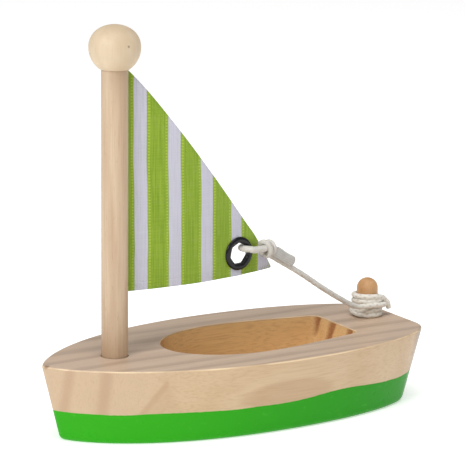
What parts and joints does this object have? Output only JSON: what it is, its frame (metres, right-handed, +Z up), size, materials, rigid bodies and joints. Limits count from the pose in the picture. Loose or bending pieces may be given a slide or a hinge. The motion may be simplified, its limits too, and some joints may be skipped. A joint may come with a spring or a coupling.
{
  "type": "toy sailing boat",
  "caption": "Wooden toy sailing boat with a milled cockpit, a green bottom, a turning mast with a ball on top, a striped cloth sail and a cord made fast on a cleat peg.",
  "frame": {"origin": "on the plane that the hull stands on, under the middle of the hull's length and beam", "axes": "+X towards the bow, +Y to port, +Z up"},
  "size_m": [0.158, 0.0758, 0.1539],
  "materials": {
    "pine": "pale pine, satin clear lacquer, lower half painted green",
    "beech_mast": "pale beech, sanded, clear lacquer",
    "beech_ball": "pale turned beech, sanded",
    "beech_peg": "warm beech, sanded",
    "sail_cloth": "woven cotton with green and white stripes",
    "eyelet_black": "glossy black",
    "cord_cotton": "off-white braided cotton cord"
  },
  "bodies": {
    "boat": {"hull": "pine", "cleat_peg": "beech_peg", "cord_winding": "cord_cotton", "cord_end": "cord_cotton", "cord_run": "cord_cotton"},
    "rig": {"mast": "beech_mast", "mast_ball": "beech_ball", "sail": "sail_cloth", "eyelet_flange": "eyelet_black", "eyelet_washer": "eyelet_black", "cord_loop": "cord_cotton", "cord_knot": "cord_cotton", "cord_tail": "cord_cotton"}
  },
  "joints": [
    {"name": "mast_turn", "type": "hinge", "parent": "boat", "child": "rig", "pos_m": [0.049, 0, 0.0295], "axis": [0, 0, 1], "range_deg": [-10, 10], "deforming": ["cord_run"]}
  ]
}
